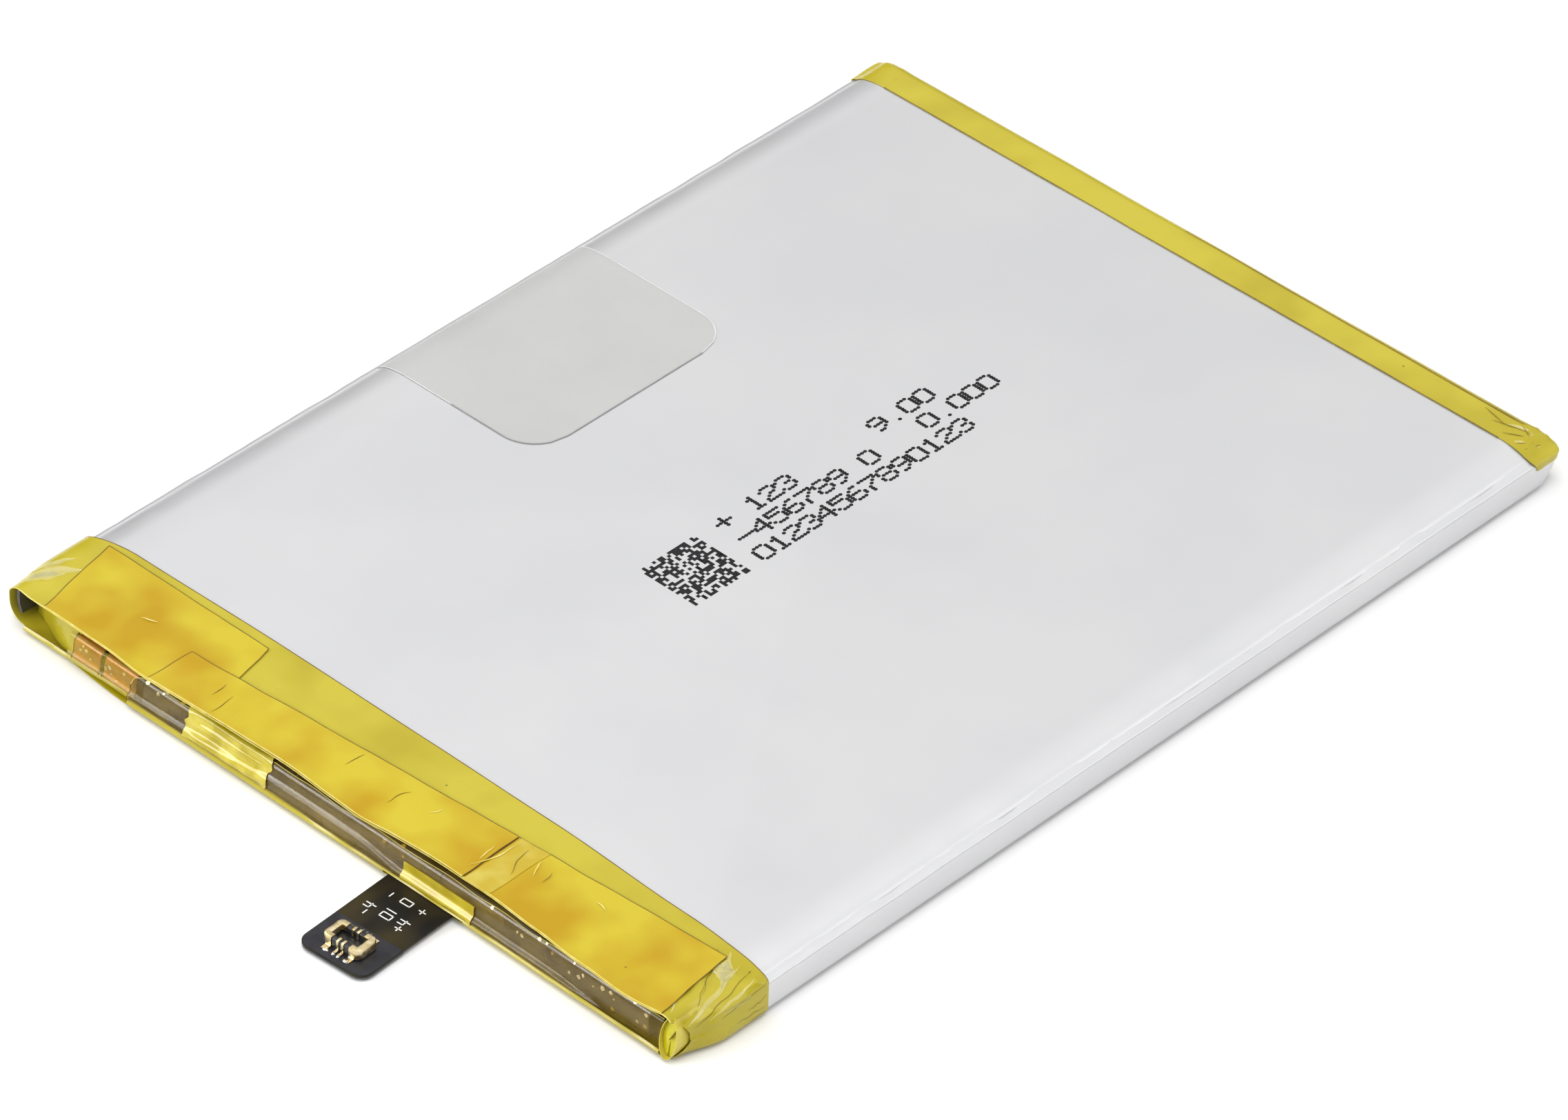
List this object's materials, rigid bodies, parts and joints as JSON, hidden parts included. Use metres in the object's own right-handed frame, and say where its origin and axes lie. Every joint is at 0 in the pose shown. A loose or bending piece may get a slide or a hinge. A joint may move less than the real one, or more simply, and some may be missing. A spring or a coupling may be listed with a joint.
{
  "type": "pouch battery cell",
  "caption": "Flat lithium-polymer pouch battery pack with a taped protection-board end and a short flexible tail carrying a board-to-board plug.",
  "frame": {"origin": "centre of the flat back face of the pouch", "axes": "+Y along the pack, away from the tail; +Z through the pack, from the back face to the printed face; +X across the pack"},
  "size_m": [0.0602, 0.0896, 0.0034],
  "materials": {
    "laminate": "satin",
    "separator": "matte",
    "anode_coating": "matte",
    "cathode_coating": "matte",
    "tab_aluminium": "satin",
    "tab_nickel": "satin",
    "tab_film": "satin",
    "weld_pad": "satin",
    "solder_mask": "satin",
    "board_film": "satin",
    "foam": "matte",
    "chip_black": "satin",
    "capacitor_ceramic": "satin",
    "fuse_metal": "satin",
    "flex_black": "satin",
    "stiffener": "satin",
    "plug_black": "satin",
    "contact_gold": "polished",
    "polyimide_tape": "gloss",
    "amber_tape": "gloss",
    "gold_tape": "gloss",
    "clear_film": "satin"
  },
  "bodies": {
    "pack": {"pouch_cup": "laminate", "pouch_lid": "laminate", "separator_inner": "separator", "separator_outer": "separator", "anode_sheet": "anode_coating", "cathode_sheet": "cathode_coating", "positive_tab": "tab_aluminium", "negative_tab": "tab_nickel", "positive_tab_film": "tab_film", "negative_tab_film": "tab_film", "positive_tab_weld_pad": "weld_pad", "negative_tab_weld_pad": "weld_pad", "protection_board": "solder_mask", "board_insulation": "board_film", "foam_pad_left": "foam", "foam_pad_right": "foam", "protection_chip": "chip_black", "mosfet_first": "chip_black", "mosfet_second": "chip_black", "thermistor": "chip_black", "resistor_sense": "chip_black", "resistor_supply": "chip_black", "resistor_gate": "chip_black", "capacitor_supply": "capacitor_ceramic", "capacitor_output": "capacitor_ceramic", "thermal_fuse": "fuse_metal", "flex_fold_left": "flex_black", "flex_fold_right": "flex_black", "flex_root": "flex_black", "near_end_sleeve": "polyimide_tape", "front_lip_tape": "polyimide_tape", "far_end_tape": "polyimide_tape", "amber_strip_left": "amber_tape", "amber_strip_middle": "amber_tape", "amber_strip_right": "amber_tape", "tail_exit_tape": "gold_tape", "clear_label": "clear_film"},
    "tail_neck": {"flex_neck": "flex_black"},
    "tail_end": {"flex_end": "flex_black", "flex_stiffener": "stiffener", "plug_housing": "plug_black", "power_contact_left": "contact_gold", "power_contact_right": "contact_gold", "signal_contact_front": "contact_gold", "signal_contact_rear": "contact_gold"}
  },
  "joints": [
    {"name": "tail_root_bend", "type": "hinge", "parent": "pack", "child": "tail_neck", "pos_m": [0.0078, -0.04115, 0.00022], "axis": [-0.9986, -0.0523, 0], "range_deg": [-60, 90], "stiffness_Nm_per_rad": 0.0008},
    {"name": "tail_end_bend", "type": "hinge", "parent": "tail_neck", "child": "tail_end", "pos_m": [0.00799, -0.04484, 0.00022], "axis": [-0.9986, -0.0523, 0], "range_deg": [-60, 60], "stiffness_Nm_per_rad": 0.0008}
  ]
}
